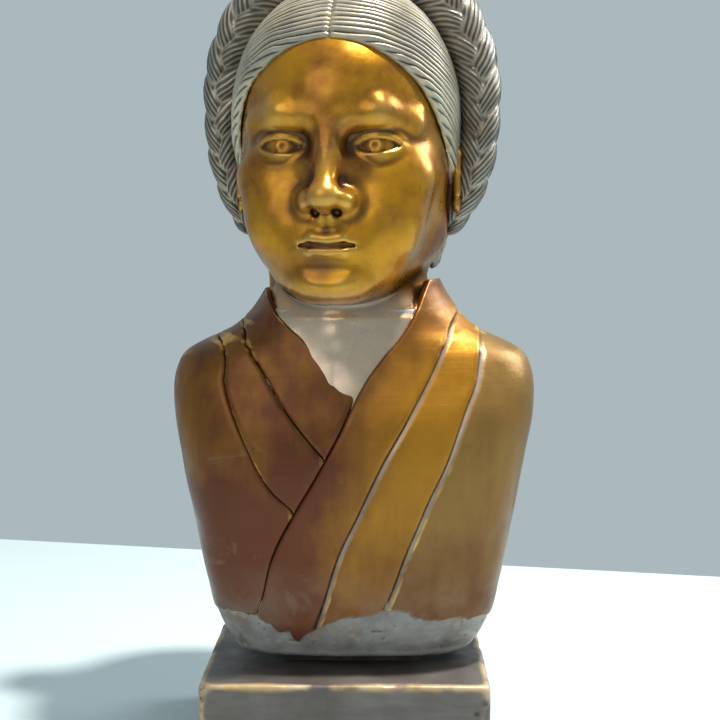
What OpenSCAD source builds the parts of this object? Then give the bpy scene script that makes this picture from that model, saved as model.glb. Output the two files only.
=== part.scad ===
// Bust in laminated paper on a rectangular plinth.
// Two-part paper shells stand on an armature of wood and one steel rod.
// Frame: origin at the centre of the base card's underside, +Z up, the figure faces -Y.
// Left and right are the figure's own, so its left side is at +X.

/* [Plinth] */
// Width of the plinth
plinth_w = 153; // [148:1:160]
// Depth of the plinth
plinth_d = 120; // [114:1:126]
// Height of the plinth, base card included
plinth_h = 45; // [42:1:55]
// Thickness of the plinth's paper skin
plinth_skin_t = 2; // [1.5:0.5:3]
// Thickness of the plinth's boards
board_t = 12; // [10:1:14]
// Thickness of the panel that closes the plinth below
panel_t = 6; // [4:1:8]
// Thickness of the card glued under the plinth
card_t = 1.5; // [1:0.5:2]

/* [Torso] */
// Width across the shoulders, over the robe
shoulder_w = 197; // [194:1:205]
// Depth of the chest, front to back, over the robe
chest_d = 106; // [104:1:112]
// Distance of the torso's middle from the plinth's middle
torso_x = 4; // [0:1:6]
// Height of the bust's own level 0 above the plinth
bust_lift = 4.7; // [4:0.1:6]
// Wall of the torso's paper shells
shell_t = 4.5; // [3:0.5:5]
// Glue line between two paper layers
glue_t = 0.5; // [0.4:0.1:0.8]
// Thickness of the robe's body layer
robe_t = 2.4; // [2:0.2:3]
// Step up from one lapel layer to the next
lapel_step = 0.7; // [0.4:0.1:1]

/* [Head] */
// Height of the head, chin to skull
head_h = 157; // [150:1:162]
// Width of the face
face_w = 115; // [110:1:117]
// Height of the chin above the bust's level 0
chin_z = 193; // [191:1:198]
// Turn of the head to the figure's right
head_yaw = 8; // [0:1:12]
// Wall of the head's paper shells
head_t = 4; // [3:0.5:5]

/* [Hair] */
// Half width of the hair cap
hair_half_w = 62; // [61.5:0.5:64]
// Height of the hair cap above its widest level
hair_rise = 72; // [68:1:76]
// Thickness of the braid wreath beside the head
braid_side_t = 18; // [14:1:20]
// Thickness of the braid wreath on top of the head
braid_top_t = 28; // [22:1:30]
// Width of the braid wreath, front to back
braid_w = 34; // [28:1:38]

/* [Armature] */
// Diameter of the steel rod
rod_d = 8; // [6:1:10]
// Diameter of the wooden neck post
post_d = 30; // [26:1:34]

/* [Hidden] */

bronze = "#8c6428";
dark_bronze = "#6e4a30";
grey_hair = "#6e685a";
bare_paper = "#8a8880";
wood = "#c49a6c";
steel = "#b4b8bc";
card_grey = "#9a958a";
dark_wood = "#3a2c22";

// Plinth box
box_w = plinth_w - 2 * plinth_skin_t;
box_d = plinth_d - 2 * plinth_skin_t;
box_top = plinth_h - plinth_skin_t;
wall_top = box_top - board_t;
wall_h = wall_top - card_t;
inner_w = box_w - 2 * board_t;
inner_d = box_d - 2 * board_t;
card_inset = 3;
block_side = 16;
panel_gap = 0.4;
block_x = (inner_w - block_side) / 2 - panel_gap;
block_y = (inner_d - block_side) / 2 - panel_gap;
screw_r = 1.75;
screw_head_r = 3.5;
screw_len = 16;
countersink = 2;

// Armature heights, above the plinth's top
rod_r = rod_d / 2;
rod_fit = 0.25;
washer_r = 12;
washer_t = 1.6;
nut_flats = 13;
nut_t = 6.5;
rod_below = washer_t + nut_t + 4;
spacer_t = 3;
spacer_w = 74;
board_d = 34;
base_board_w = 92;
base_board_z = 10.5;
base_board_t = 10;
batten_w = 150;
batten_d = 24;
batten_z = 128;
batten_t = 16;
post_top = 304;
rod_top = 250;
crown_t = 10;
crown_r = 36;
crown_screw_r = 2;
crown_screw_head_r = 4;
crown_screw_len = 24;
pilot_depth = 14;

// Torso outline: height above the bust's level 0, half width, depth in front, depth behind, squareness
torso_rows = [
    [-1.5, 10, 10, 10, 2], [-1.3, 51, 22, 31, 2.5], [1.3, 61, 27, 35, 2.7], [9, 68.5, 33, 39, 3],
    [23, 76, 39, 42, 3.1], [41, 80.5, 43, 44, 3.2], [60, 84, 46, 45, 3.2], [85, 89, 51, 48, 3.2],
    [110, 94, 53, 51, 3.1], [132, 98, 51, 53, 3], [147, 98.5, 46, 53, 2.9],
    [156, 96.8, 43, 51, 2.7], [163, 92.8, 41, 49, 2.5], [169, 82.5, 40, 47, 2.3],
    [175, 68, 39.5, 45, 2.2], [184, 57, 39, 43, 2.1], [196, 48, 39, 42, 2], [206, 43, 39, 41.5, 2]];
k_width = (shoulder_w / 2 - glue_t - robe_t) / 98.5;
k_depth = (chest_d / 2 - glue_t - robe_t) / 53;
robe_low = 27;
robe_high = 182;
collar_top = 203;
torso_cols = 20;
seam_gap = 0.3;

// Lapel lines in the front view: height, distance from the torso's middle
lap_cross = [[27, -50], [60, -41], [82.5, -30], [99.5, -20], [123, -7], [150, 6.2], [163, 15.6],
    [178, 27.6], [196, 35], [206, 39]];
lap_left_1 = [[27, -17], [61, -7], [111, 16.5], [148, 37.5], [169, 47.5], [183, 52], [190, 60]];
lap_left_2 = [[27, 15.5], [61, 28], [109, 48.5], [150, 64], [166, 66], [178, 68], [186, 80]];
lap_right_1 = [[112, -13], [149, 0], [157.6, -9], [170, -22], [185, -38.8], [196, -46], [206, -50]];
lap_right_2 = [[112, -13.5], [136, -34.5], [156, -47], [168, -55], [184, -60], [190, -70]];
lap_right_3 = [[83.5, -30.3], [96, -42.5], [117.5, -54.6], [148, -66.4], [172, -68.6], [180, -80]];

// Head outline: height above the chin, half width, depth in front, depth behind, squareness
head_rows = [
    [-43, 37, 32, 33, 2], [-25, 37.5, 32, 34, 2], [-14, 38, 33, 35, 2], [-7, 38.5, 37, 36, 1.9],
    [-3, 39, 49, 37, 1.75], [1, 39.5, 60, 37.5, 1.8], [7, 40, 66, 38, 1.9], [13, 41, 65, 39.3, 2],
    [20, 45, 63.5, 47, 2.1], [38, 53, 64.5, 62, 2.2], [62, 57, 63.5, 70, 2.2], [92, 57.5, 67, 74, 2.2],
    [112, 56, 65.5, 72, 2.2], [130, 49, 57, 63, 2.2], [143, 37.5, 43, 50, 2.1],
    [151, 25, 28, 34, 2], [155.6, 11, 12, 14, 2], [156.6, 6, 6, 6, 2]];
k_head = head_h / 157;
k_face = face_w / 115;
head_cols = 26;
head_row_step = 4.4;
head_x = torso_x - 3;
hair_level = 99;
hair_front_d = 71;
hair_back_d = 82;
braid_gap = 1;
braid_y = 10;
nape_z = 15;
hair_min_t = 3.5;
neck_depth = 42.9;
ear_size = [3.2, 10, 19];
ear_out = 4;

// Tail of the wreath below the widest level: degrees, then its run inward, back and down
tail_turn = 38;
tail_in = 16;
tail_back = 4;
tail_drop = 64;

// ---- functions ----

// Signed power, for superellipses
function spow(s, e) = sign(s) * pow(abs(s), e);
// Index of the row below height z
function row_at(z, t, i = 0) = (i >= len(t) - 2 || z < t[i + 1][0]) ? i : row_at(z, t, i + 1);
// Slope of column k between rows i and i + 1
function rise(t, i, k) = (t[i + 1][k] - t[i][k]) / (t[i + 1][0] - t[i][0]);
// Slope of column k at row i
function slope(t, i, k) = i <= 0 ? rise(t, 0, k)
    : i >= len(t) - 1 ? rise(t, len(t) - 2, k)
    : (rise(t, i - 1, k) + rise(t, i, k)) / 2;
// Column k at height z, as a smooth curve through the rows
function smooth_at(z, t, k) =
    let (i = row_at(z, t), h = t[i + 1][0] - t[i][0], u = (z - t[i][0]) / h)
    (2 * u * u * u - 3 * u * u + 1) * t[i][k] + (u * u * u - 2 * u * u + u) * h * slope(t, i, k)
    + (3 * u * u - 2 * u * u * u) * t[i + 1][k] + (u * u * u - u * u) * h * slope(t, i + 1, k);
// Rounded bump of unit height
function bump(d, r) = exp(-(d * d) / (r * r));
// Evenly spread numbers from a to b
function spread(a, b, n) = [for (i = [0 : n]) a + (b - a) * i / n];

// Point of the torso at angle phi and height z, moved out by off
function torso_point(phi, z, off) =
    let (n = lookup(z, [for (r = torso_rows) [r[0], r[4]]]),
        w = lookup(z, [for (r = torso_rows) [r[0], r[1]]]) * k_width,
        d = lookup(z, [for (r = torso_rows) [r[0], r[sin(phi) < 0 ? 2 : 3]]]) * k_depth)
    [(w + off) * spow(cos(phi), 2 / n), (d + off) * spow(sin(phi), 2 / n), z];
// Point of the torso's front at distance x from the middle and height z, moved out by off
function torso_front(x, z, off) =
    let (n = lookup(z, [for (r = torso_rows) [r[0], r[4]]]),
        w = lookup(z, [for (r = torso_rows) [r[0], r[1]]]) * k_width,
        d = lookup(z, [for (r = torso_rows) [r[0], r[2]]]) * k_depth,
        k = min(1, abs(x) / w))
    [sign(x) * k * (w + off), -(d + off) * pow(1 - pow(k, n), 1 / n), z];
// Half width of the torso at height z
function torso_half_w(z) = lookup(z, [for (r = torso_rows) [r[0], r[1]]]) * k_width;
// Torn lower edge of the robe layer
function torn_edge(x) = robe_low + 2.2 * sin(x * 7) + 1.4 * sin(x * 17 + 40)
    - 7 * bump(x + 30, 5);

// Face relief in front of the head's plain outline: nose, lips and eye sockets on thirds
third = head_h * 0.285;
function face_relief(x, z) =
    let (nose_u = max(0, min(1, (2 * third - z) / (0.84 * third))))
    17 * pow(nose_u, 1.3) * bump(x, 6.5 + 2.5 * nose_u) * min(1, max(0, (z - third + 4) / 5))
    + 3 * bump(x, 17) * bump(z - 0.68 * third, 6.5)
    - 5 * bump(abs(x) - face_w / 5, 12) * bump(z - 1.78 * third, 9)
    + 2.2 * bump(abs(x) - face_w / 5, 8) * bump(z - 1.74 * third, 5);
// Point of the head at angle phi and height z above the chin, moved out by off
function head_point(phi, z, off) =
    let (zc = z / k_head,
        n = lookup(zc, [for (r = head_rows) [r[0], r[4]]]),
        w = smooth_at(zc, head_rows, 1) * k_face,
        d = smooth_at(zc, head_rows, sin(phi) < 0 ? 2 : 3),
        up = max(0, min(1, (z - 90) / (head_h - 90))),
        x = (w + off * cos(90 * up)) * spow(cos(phi), 2 / n),
        y = (d + off * cos(90 * up)) * spow(sin(phi), 2 / n),
        relief = sin(phi) < 0 ? face_relief(x, z) * -sin(phi) : 0)
    [x, y - relief, z + off * sin(90 * up)];
// Point of the hair cap: an ellipsoid above its widest level, drawn in a little below it,
// and nowhere thinner than hair_min_t over the head
function hair_point(phi, z) =
    let (u = (z - hair_level) / hair_rise,
        dome = sqrt(max(0, 1 - u * u)),
        k = sin(phi) < 0 ? 2 : 3,
        zh = min(z / k_head, 156.5),
        w = max(hair_half_w * (u > 0 ? dome : 1 - 0.2 * u * u),
            smooth_at(zh, head_rows, 1) * k_face + hair_min_t),
        d = max((k == 2 ? hair_front_d : hair_back_d) * (u > 0 ? dome : 1 - 0.34 * u * u),
            smooth_at(zh, head_rows, k) + hair_min_t))
    [w * spow(cos(phi), 2 / 2.2), d * spow(sin(phi), 2 / 2.2), z];
// Height of the hairline at angle a from the middle of the forehead
function hairline(a) = a < 50 ? 134 - 24 * pow(a / 50, 2)
    : a < 90 ? 110 - 42 * (a - 50) / 40
    : max(nape_z, 68 - 54 * (a - 90) / 30);

// ---- builders ----

// Closed skin between two grids of points; each grid is a list of rows
module skin(outer, inner) {
    nv = len(outer);
    nu = len(outer[0]);
    k = nv * nu;
    points = concat([for (row = outer) for (p = row) p], [for (row = inner) for (p = row) p]);
    out_faces = [for (v = [0 : nv - 2]) for (u = [0 : nu - 2]) let (a = v * nu + u)
        each [[a, a + nu, a + 1], [a + 1, a + nu, a + nu + 1]]];
    in_faces = [for (f = out_faces) [f[0] + k, f[2] + k, f[1] + k]];
    low = [for (u = [0 : nu - 2]) each [[u, u + 1, k + u], [u + 1, k + u + 1, k + u]]];
    h = (nv - 1) * nu;
    high = [for (u = [0 : nu - 2])
        each [[h + u, k + h + u, h + u + 1], [h + u + 1, k + h + u, k + h + u + 1]]];
    near = [for (v = [0 : nv - 2]) let (a = v * nu)
        each [[a, k + a, a + nu], [a + nu, k + a, k + a + nu]]];
    far = [for (v = [0 : nv - 2]) let (a = v * nu + nu - 1)
        each [[a, a + nu, k + a], [a + nu, k + a + nu, k + a]]];
    polyhedron(points, concat(out_faces, in_faces, low, high, near, far), convexity = 8);
}

// Half of the torso's shell, from angle a to angle b
module torso_half(a, b) {
    foot = torso_rows[0][0];
    heights = concat([foot, foot + 0.2, 1.3, 5, 9, 16], spread(24, 147, 12),
        [152, 157, 163, 169, 176, 184]);
    angles = spread(a, b, torso_cols);
    wall = [for (z = heights) [for (p = angles) torso_point(p, z, 0)]];
    lining = [for (z = heights) [for (p = angles)
        let (q = torso_point(p, z, z < foot + 0.1 ? 0 : -shell_t))
        [q[0], q[1], max(q[2], foot + shell_t + (z - foot) * 0.05)]]];
    skin(wall, lining);
}

// Piece of the robe's front between two lines x = near(z) and x = far(z), from z0 to z1.
// A line beyond the torso's outline stops at its side seam.
module robe_piece(near, far, z0, z1, t, cols, rows, torn = false) {
    function clip(x, z) = let (w = torso_half_w(z)) max(-w, min(w, x));
    function across(a, b, w, u) = b >= w ? a + (b - a) * sin(90 * u)
        : a <= -w ? b - (b - a) * sin(90 * (1 - u))
        : a + (b - a) * u;
    function grid(off) = [for (v = [0 : rows]) [for (u = [0 : cols])
        let (xb = lookup(z0, near) * (1 - u / cols) + lookup(z0, far) * u / cols,
            zb = torn ? torn_edge(xb) : z0,
            z = zb + (z1 - zb) * v / rows,
            a = clip(lookup(z, near), z),
            b = max(a + 1, min(lookup(z, far) - seam_gap, clip(lookup(z, far), z))))
        torso_front(across(a, b, torso_half_w(z), u / cols), z, off)]];
    skin(grid(glue_t + t), grid(glue_t));
}

// Lines far outside the torso, for pieces that reach its side seam
side_left = [[0, 150], [210, 150]];
side_right = [[0, -150], [210, -150]];

// Lower of two lines, counted towards the middle from the figure's right
function lesser(a, b, step = 6) = [for (z = [a[0][0] : step : 206])
    [z, min(lookup(z, a), lookup(z, b))]];

module on_torso() {
    translate([torso_x, 0, plinth_h]) children();
}

// Place of the bust's level 0, from which the torso's outline and the lapel lines are measured
module on_bust() {
    translate([torso_x, 0, plinth_h + bust_lift]) children();
}

module on_head() {
    translate([head_x, 0, plinth_h + bust_lift + chin_z]) rotate([0, 0, -head_yaw]) children();
}

// Countersunk wood screw, head up, tip at the origin
module wood_screw(r, head_r, length) {
    cylinder(r = r, h = length - countersink, $fn = 24);
    translate([0, 0, length - countersink])
        cylinder(r1 = r, r2 = head_r, h = countersink, $fn = 24);
}

// ---- plinth ----

module base_card() {
    color(card_grey)
        translate([-plinth_w / 2 + card_inset, -plinth_d / 2 + card_inset, 0])
            cube([plinth_w - 2 * card_inset, plinth_d - 2 * card_inset, card_t]);
}

module plinth_skin() {
    color(bronze) difference() {
        translate([-plinth_w / 2, -plinth_d / 2, card_t])
            cube([plinth_w, plinth_d, plinth_h - card_t]);
        translate([-box_w / 2, -box_d / 2, card_t - 1])
            cube([box_w, box_d, box_top - card_t + 1]);
        rod_hole(plinth_h, plinth_skin_t * 3);
    }
}

// Clearance hole for the rod, centred on height z
module rod_hole(z, length) {
    translate([torso_x, 0, z - length / 2])
        cylinder(r = rod_r + rod_fit, h = length, $fn = 32);
}

module plinth_top() {
    color(wood) difference() {
        translate([-box_w / 2, -box_d / 2, wall_top]) cube([box_w, box_d, board_t]);
        rod_hole(wall_top + board_t / 2, board_t * 2);
    }
}

// Long board of the plinth on side s, -1 in front and 1 behind
module long_board(s) {
    color(wood)
        translate([-box_w / 2, s < 0 ? -box_d / 2 : box_d / 2 - board_t, card_t])
            cube([box_w, board_t, wall_h]);
}

// Short board of the plinth on side s, -1 at the figure's right and 1 at its left
module short_board(s) {
    color(wood)
        translate([s < 0 ? -box_w / 2 : box_w / 2 - board_t, -inner_d / 2, card_t])
            cube([board_t, inner_d, wall_h]);
}

module plinth_front() { long_board(-1); }
module plinth_back() { long_board(1); }
module plinth_left() { short_board(1); }
module plinth_right() { short_board(-1); }

module at_corners() {
    for (sx = [-1, 1]) for (sy = [-1, 1])
        translate([sx * block_x, sy * block_y, 0]) children();
}

module plinth_bottom() {
    color(wood) difference() {
        translate([-inner_w / 2 + panel_gap, -inner_d / 2 + panel_gap, card_t])
            cube([inner_w - 2 * panel_gap, inner_d - 2 * panel_gap, panel_t]);
        at_corners() translate([0, 0, card_t]) {
            translate([0, 0, -1]) cylinder(r = screw_r, h = panel_t + 2, $fn = 24);
            cylinder(r1 = screw_head_r, r2 = screw_r, h = countersink, $fn = 24);
        }
    }
}

module plinth_glue_blocks() {
    block_z = card_t + panel_t;
    color(wood) at_corners() difference() {
        translate([-block_side / 2, -block_side / 2, block_z])
            cube([block_side, block_side, wall_top - block_z]);
        translate([0, 0, block_z - 1]) cylinder(r = screw_r, h = screw_len - panel_t + 1, $fn = 24);
    }
}

module plinth_screws() {
    color(steel) at_corners() translate([0, 0, card_t + screw_len]) rotate([180, 0, 0])
        wood_screw(screw_r, screw_head_r, screw_len);
}

// ---- armature ----

module armature_rod() {
    color(steel) on_torso()
        translate([0, 0, -board_t - plinth_skin_t - rod_below])
            cylinder(r = rod_r, h = rod_top + board_t + plinth_skin_t + rod_below, $fn = 32);
}

// Heights of the three washers' undersides above the plinth's top
washer_z = [-plinth_skin_t - board_t - washer_t, base_board_z + base_board_t, batten_z - washer_t];
nut_z = [washer_z[0] - nut_t, washer_z[1] + washer_t, washer_z[2] - nut_t];

module rod_nuts() {
    color(steel) on_torso() for (z = nut_z) translate([0, 0, z]) difference() {
        cylinder(r = nut_flats / sqrt(3), h = nut_t, $fn = 6);
        translate([0, 0, -1]) cylinder(r = rod_r, h = nut_t + 2, $fn = 32);
    }
}

module rod_washers() {
    color(steel) on_torso() for (z = washer_z) translate([0, 0, z]) difference() {
        cylinder(r = washer_r, h = washer_t, $fn = 48);
        translate([0, 0, -1]) cylinder(r = rod_r + rod_fit, h = washer_t + 2, $fn = 32);
    }
}

// Board w wide, d deep and t thick with the rod's hole, its underside at height z
module armature_board(w, d, t, z) {
    color(wood) difference() {
        on_torso() translate([-w / 2, -d / 2, z]) cube([w, d, t]);
        rod_hole(plinth_h + z + t / 2, t * 2);
    }
}

module foot_spacer() {
    color(dark_wood) armature_board(spacer_w, board_d, spacer_t, 0);
}

module torso_base_board() {
    armature_board(base_board_w, board_d, base_board_t, base_board_z);
}

module shoulder_batten() {
    armature_board(batten_w, batten_d, batten_t, batten_z);
}

module neck_post() {
    post_z = batten_z + batten_t;
    color(wood) on_torso() difference() {
        translate([0, 0, post_z]) cylinder(r = post_d / 2, h = post_top - post_z, $fn = 48);
        translate([0, 0, post_z - 1]) cylinder(r = rod_r + rod_fit, h = rod_top - post_z + 2, $fn = 32);
        translate([0, 0, post_top - pilot_depth])
            cylinder(r = crown_screw_r, h = pilot_depth + 1, $fn = 24);
    }
}

module crown_disc() {
    color(wood) on_torso() translate([0, 0, post_top]) difference() {
        cylinder(r = crown_r, h = crown_t, $fn = 64);
        translate([0, 0, -1]) cylinder(r = crown_screw_r, h = crown_t + 2, $fn = 24);
        translate([0, 0, crown_t - countersink])
            cylinder(r1 = crown_screw_r, r2 = crown_screw_head_r, h = countersink + 0.001, $fn = 24);
    }
}

module crown_screw() {
    color(steel) on_torso() translate([0, 0, post_top + crown_t - crown_screw_len])
        wood_screw(crown_screw_r, crown_screw_head_r, crown_screw_len);
}

// ---- torso and robe ----

module torso_front_shell() {
    color(bare_paper) on_bust() torso_half(180, 360);
}

module torso_back_shell() {
    color(bare_paper) on_bust() torso_half(0, 180);
}

module robe_back() {
    color(dark_bronze) on_bust() {
        heights = concat(spread(robe_low, 147, 12), [152, 157, 163, 169, 175, robe_high]);
        angles = spread(0, 180, 18);
        skin([for (z = heights) [for (p = angles) torso_point(p, z, glue_t + robe_t)]],
            [for (z = heights) [for (p = angles) torso_point(p, z, glue_t)]]);
    }
}

module robe_left_front() {
    color(bronze) on_bust()
        robe_piece(lap_left_2, side_left, robe_low, 182, robe_t, 8, 22, true);
}

module robe_right_front() {
    color(dark_bronze) on_bust()
        robe_piece(side_right, lesser(lap_right_3, lap_cross), robe_low, 176,
            robe_t, 8, 22, true);
}

module collar_left_inner() {
    color(bronze) on_bust()
        robe_piece(lap_cross, lap_left_1, robe_low, collar_top, robe_t + 2 * lapel_step, 5, 26, true);
}

module collar_left_outer() {
    color(bronze) on_bust()
        robe_piece(lap_left_1, lap_left_2, robe_low, 186, robe_t + lapel_step, 4, 24, true);
}

module collar_right_inner() {
    color(dark_bronze) on_bust()
        robe_piece(lap_right_2, lesser(lap_right_1, lap_cross), 113, collar_top,
            robe_t - lapel_step, 4, 16);
}

module collar_right_outer() {
    color(dark_bronze) on_bust()
        robe_piece(lap_right_3, lesser(lap_right_2, lap_cross), 84, 186, robe_t, 4, 18);
}

module collar_back() {
    color(dark_bronze) on_bust() {
        heights = spread(robe_high + 0.5, collar_top, 4);
        angles = spread(0, 180, 16);
        t = glue_t + robe_t + lapel_step;
        skin([for (z = heights) [for (p = angles) torso_point(p, z, t)]],
            [for (z = heights) [for (p = angles) torso_point(p, z, glue_t)]]);
    }
}

// ---- head and hair ----

// Half of the head's shell, from angle a to angle b, in cols columns
module head_half(a, b, cols, step) {
    rows = round((head_h + neck_depth) / step) - 1;
    heights = concat(spread(-neck_depth * k_head, 150 * k_head, rows), [154 * k_head, 156.5 * k_head]);
    angles = spread(a, b, cols);
    skin([for (z = heights) [for (p = angles) head_point(p, z, 0)]],
        [for (z = heights) [for (p = angles) head_point(p, z, -head_t)]]);
}

module head_front() {
    color(bronze) on_head() head_half(180, 360, head_cols, head_row_step);
}

module head_back() {
    color(bronze) on_head() head_half(0, 180, 14, 8);
}

// Ear on side s: a flat oval with its hollow, standing on the side of the head
module ear(s) {
    color(bronze) on_head() translate([s * (face_w / 2 + ear_out), 4, 1.5 * third]) rotate([12, 0, -s * 18])
        difference() {
            hull() scale(ear_size) sphere(r = 1, $fn = 18);
            hull() translate([s * 3.4, -1, 2]) scale([2.6, 5.5, 11]) sphere(r = 1, $fn = 14);
        }
}

module ear_left() { ear(1); }
module ear_right() { ear(-1); }

// Sheet of hair between angles a and b, from the hairline to the crown
module hair_sheet(a, b, cols, rows) {
    top = hair_level + hair_rise - 1;
    function low_z(p) = hairline(abs(270 - p));
    outer = [for (v = [0 : rows]) [for (p = spread(a, b, cols))
        let (w = v / rows, z = low_z(p) + (top - low_z(p)) * (1 - pow(1 - w, 1.6)))
        hair_point(p, z)]];
    inner = [for (v = [0 : rows]) [for (p = spread(a, b, cols))
        let (w = v / rows, z = low_z(p) + (head_h - 1.5 - low_z(p)) * (1 - pow(1 - w, 1.6)))
        head_point(p, z, glue_t)]];
    skin(outer, inner);
}

module hair_left() {
    color(grey_hair) on_head() hair_sheet(270, 380, 14, 14);
}

module hair_right() {
    color(grey_hair) on_head() hair_sheet(160, 270, 14, 14);
}

module hair_back() {
    color(grey_hair) on_head() {
        heights = concat(spread(nape_z, hair_level, 10),
            [for (w = spread(10, 88, 9)) hair_level + hair_rise * sin(w)]);
        skull = concat(spread(nape_z, hair_level, 10),
            [for (w = spread(10, 88, 9)) hair_level + (head_h - 0.5 - hair_level) * sin(w)]);
        angles = spread(20.5, 159.5, 14);
        skin([for (z = heights) [for (p = angles) hair_point(p, z)]],
            [for (z = skull) [for (p = angles) head_point(p, z, glue_t)]]);
    }
}

// Half of the wreath on side s: an oval tube from the crown down past the ear.
// Its inner side follows the hair cap, and it thins out below the ear.
module braid(s) {
    sides = 10;
    turns = spread(89.5, -tail_turn, 26);
    function radius(t) = t > 0
        ? braid_side_t / 2 + (braid_top_t - braid_side_t) / 2 * sin(t)
        : braid_side_t / 2 * (1 - 0.5 * pow(t / tail_turn, 2));
    function centre(t) = let (r = radius(t)) t > 0
        ? [(hair_half_w + braid_gap + r) * cos(t), braid_y,
            hair_level + (hair_rise + braid_gap + r) * sin(t)]
        : [hair_half_w + braid_gap + braid_side_t / 2 - tail_in * pow(t / tail_turn, 2),
            braid_y + tail_back * pow(t / tail_turn, 2), hair_level + tail_drop * t / tail_turn];
    function ring(t) = [for (i = [0 : sides - 1])
        let (q = 360 * i / sides, c = centre(t), d = max(t, 0), r = radius(t))
        [s * (c[0] + r * cos(q) * cos(d)),
            c[1] + braid_w / 2 * min(1, 2 * r / braid_side_t) * sin(q),
            c[2] + r * cos(q) * sin(d)]];
    rings = [for (t = turns) each ring(t)];
    n = len(turns);
    side = [for (v = [0 : n - 2]) for (i = [0 : sides - 1]) let (j = (i + 1) % sides, a = v * sides)
        each [[a + i, a + j, a + sides + i], [a + j, a + sides + j, a + sides + i]]];
    first = [for (i = [sides - 1 : -1 : 0]) i];
    last = [for (i = [0 : sides - 1]) (n - 1) * sides + i];
    faces = concat(side, [first, last]);
    polyhedron(rings, s > 0 ? faces : [for (f = faces) [for (i = [len(f) - 1 : -1 : 0]) f[i]]]);
}

module braid_left() {
    color(grey_hair) on_head() braid(1);
}

module braid_right() {
    color(grey_hair) on_head() braid(-1);
}

base_card();
plinth_skin();
plinth_top();
plinth_front();
plinth_back();
plinth_left();
plinth_right();
plinth_bottom();
plinth_glue_blocks();
plinth_screws();
armature_rod();
rod_nuts();
rod_washers();
foot_spacer();
torso_base_board();
shoulder_batten();
neck_post();
crown_disc();
crown_screw();
torso_front_shell();
torso_back_shell();
robe_back();
robe_left_front();
robe_right_front();
collar_left_inner();
collar_left_outer();
collar_right_inner();
collar_right_outer();
collar_back();
head_front();
head_back();
ear_left();
ear_right();
hair_left();
hair_right();
hair_back();
braid_left();
braid_right();
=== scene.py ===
"""Looks of a papier-mache bust on a plinth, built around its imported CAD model.

Shapes are worked out in millimetres and made in metres. The figure faces -Y, and its left side
is at +X. The torso's pieces are skins over one smooth surface, the face, ears and plinth are
sculpted as distance fields, and the hair is made of grooved sheets and plaited tubes.
"""

import bpy
import numpy as np
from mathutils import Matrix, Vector


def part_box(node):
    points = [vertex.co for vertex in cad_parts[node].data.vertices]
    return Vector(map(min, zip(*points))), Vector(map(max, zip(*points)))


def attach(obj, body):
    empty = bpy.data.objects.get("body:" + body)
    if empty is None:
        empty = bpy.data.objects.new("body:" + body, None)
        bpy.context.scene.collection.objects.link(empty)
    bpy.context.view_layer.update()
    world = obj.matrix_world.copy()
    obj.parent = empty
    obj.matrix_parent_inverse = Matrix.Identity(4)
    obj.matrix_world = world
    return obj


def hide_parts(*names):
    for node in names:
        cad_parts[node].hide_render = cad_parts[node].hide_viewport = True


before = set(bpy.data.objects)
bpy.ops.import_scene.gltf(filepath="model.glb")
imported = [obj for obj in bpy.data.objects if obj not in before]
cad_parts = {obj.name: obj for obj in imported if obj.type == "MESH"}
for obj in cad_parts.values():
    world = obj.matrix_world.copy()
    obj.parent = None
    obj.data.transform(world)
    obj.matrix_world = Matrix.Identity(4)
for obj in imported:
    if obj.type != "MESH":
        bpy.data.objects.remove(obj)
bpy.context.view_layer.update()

MM = 0.001
SEED = 7

# Places taken from the frame, in millimetres
PLINTH_LOW, PLINTH_HIGH = (np.array(c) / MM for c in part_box("plinth_skin"))
SHELL_LOW, SHELL_HIGH = (np.array(c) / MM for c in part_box("torso_front_shell"))
TORSO_X = (SHELL_LOW[0] + SHELL_HIGH[0]) / 2
SHELL_FOOT = 1.5  # how far the shell goes below level 0 of the torso's heights
BUST_Z = SHELL_LOW[2] + SHELL_FOOT
NECK_DEPTH = 42.9
CHIN_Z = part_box("head_front")[0].z / MM + NECK_DEPTH
HEAD_X = TORSO_X - 3
HEAD_YAW = np.radians(-8)


# ---------------------------------------------------------------- numbers


def smoothstep(a, b, x):
    t = np.clip((x - a) / (b - a), 0, 1)
    return t * t * (3 - 2 * t)


def bump(x, r):
    return np.exp(-((x / r) ** 2))


def curve(x, points):
    """Smooth curve through (x, value) points, level beyond its ends."""
    xs = np.array([p[0] for p in points], float)
    vs = np.array([p[1] for p in points], float)
    rise = np.diff(vs) / np.diff(xs)
    slope = np.concatenate([rise[:1], (rise[1:] + rise[:-1]) / 2, rise[-1:]])
    x = np.asarray(x, float)
    i = np.clip(np.searchsorted(xs, x, side="right") - 1, 0, len(xs) - 2)
    h = xs[i + 1] - xs[i]
    u = np.clip((x - xs[i]) / h, 0, 1)
    return (
        (2 * u**3 - 3 * u**2 + 1) * vs[i]
        + (u**3 - 2 * u**2 + u) * h * slope[i]
        + (3 * u**2 - 2 * u**3) * vs[i + 1]
        + (u**3 - u**2) * h * slope[i + 1]
    )


def lattice(ix, iy, iz, seed):
    """Even random numbers from -1 to 1 at whole-number places."""
    n = (ix * 73856093) ^ (iy * 19349663) ^ (iz * 83492791) ^ (seed * 668265263)
    n = n & 0xFFFFFFFF
    n = ((n ^ (n >> 13)) * 1274126177) & 0xFFFFFFFF
    n = n ^ (n >> 16)
    return (n & 0xFFFFFF) / float(0x7FFFFF) - 1


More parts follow.
